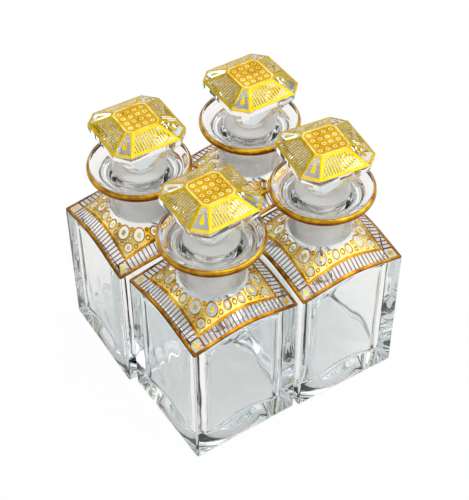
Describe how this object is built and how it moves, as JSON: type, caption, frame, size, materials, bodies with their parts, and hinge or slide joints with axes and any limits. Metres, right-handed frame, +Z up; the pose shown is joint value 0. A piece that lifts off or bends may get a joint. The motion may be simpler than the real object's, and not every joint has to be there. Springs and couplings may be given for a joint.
{
  "type": "perfume flacon set",
  "caption": "Block of square hollow crystal flacons with gilded arched shoulders, broad flared lips and lift-out octagonal faceted stoppers on tapered ground plugs.",
  "frame": {"origin": "centre of the set's footprint on the table, at the height of the flacons' bases", "axes": "+Z up; +X from the front flacon to the right one; +Y from the front flacon to the left one"},
  "size_m": [0.1268, 0.1252, 0.1486],
  "materials": {
    "crystal": "clear polished",
    "stopper_crystal": "clear polished with a frosted ground plug",
    "gilding": "burnished fired gold",
    "stopper_gilding": "burnished fired gold"
  },
  "bodies": {
    "front_flacon": {"front_flacon_glass": "crystal", "front_shoulder_gilding": "gilding", "front_lip_gilding": "gilding"},
    "front_stopper": {"front_stopper_glass": "stopper_crystal", "front_stopper_gilding": "stopper_gilding"},
    "left_flacon": {"left_flacon_glass": "crystal", "left_shoulder_gilding": "gilding", "left_lip_gilding": "gilding"},
    "left_stopper": {"left_stopper_glass": "stopper_crystal", "left_stopper_gilding": "stopper_gilding"},
    "right_flacon": {"right_flacon_glass": "crystal", "right_shoulder_gilding": "gilding", "right_lip_gilding": "gilding"},
    "right_stopper": {"right_stopper_glass": "stopper_crystal", "right_stopper_gilding": "stopper_gilding"},
    "back_flacon": {"back_flacon_glass": "crystal", "back_shoulder_gilding": "gilding", "back_lip_gilding": "gilding"},
    "back_stopper": {"back_stopper_glass": "stopper_crystal", "back_stopper_gilding": "stopper_gilding"}
  },
  "joints": [
    {"name": "left_flacon_lift", "type": "slide", "parent": "front_flacon", "child": "left_flacon", "axis": [0, 0, 1], "range_m": [0, 0.17]},
    {"name": "right_flacon_lift", "type": "slide", "parent": "front_flacon", "child": "right_flacon", "axis": [0, 0, 1], "range_m": [0, 0.17]},
    {"name": "back_flacon_lift", "type": "slide", "parent": "front_flacon", "child": "back_flacon", "axis": [0, 0, 1], "range_m": [0, 0.17]},
    {"name": "front_stopper_lift", "type": "slide", "parent": "front_flacon", "child": "front_stopper", "axis": [0, 0, 1], "range_m": [0, 0.05]},
    {"name": "left_stopper_lift", "type": "slide", "parent": "left_flacon", "child": "left_stopper", "axis": [0, 0, 1], "range_m": [0, 0.05]},
    {"name": "right_stopper_lift", "type": "slide", "parent": "right_flacon", "child": "right_stopper", "axis": [0, 0, 1], "range_m": [0, 0.05]},
    {"name": "back_stopper_lift", "type": "slide", "parent": "back_flacon", "child": "back_stopper", "axis": [0, 0, 1], "range_m": [0, 0.05]}
  ]
}
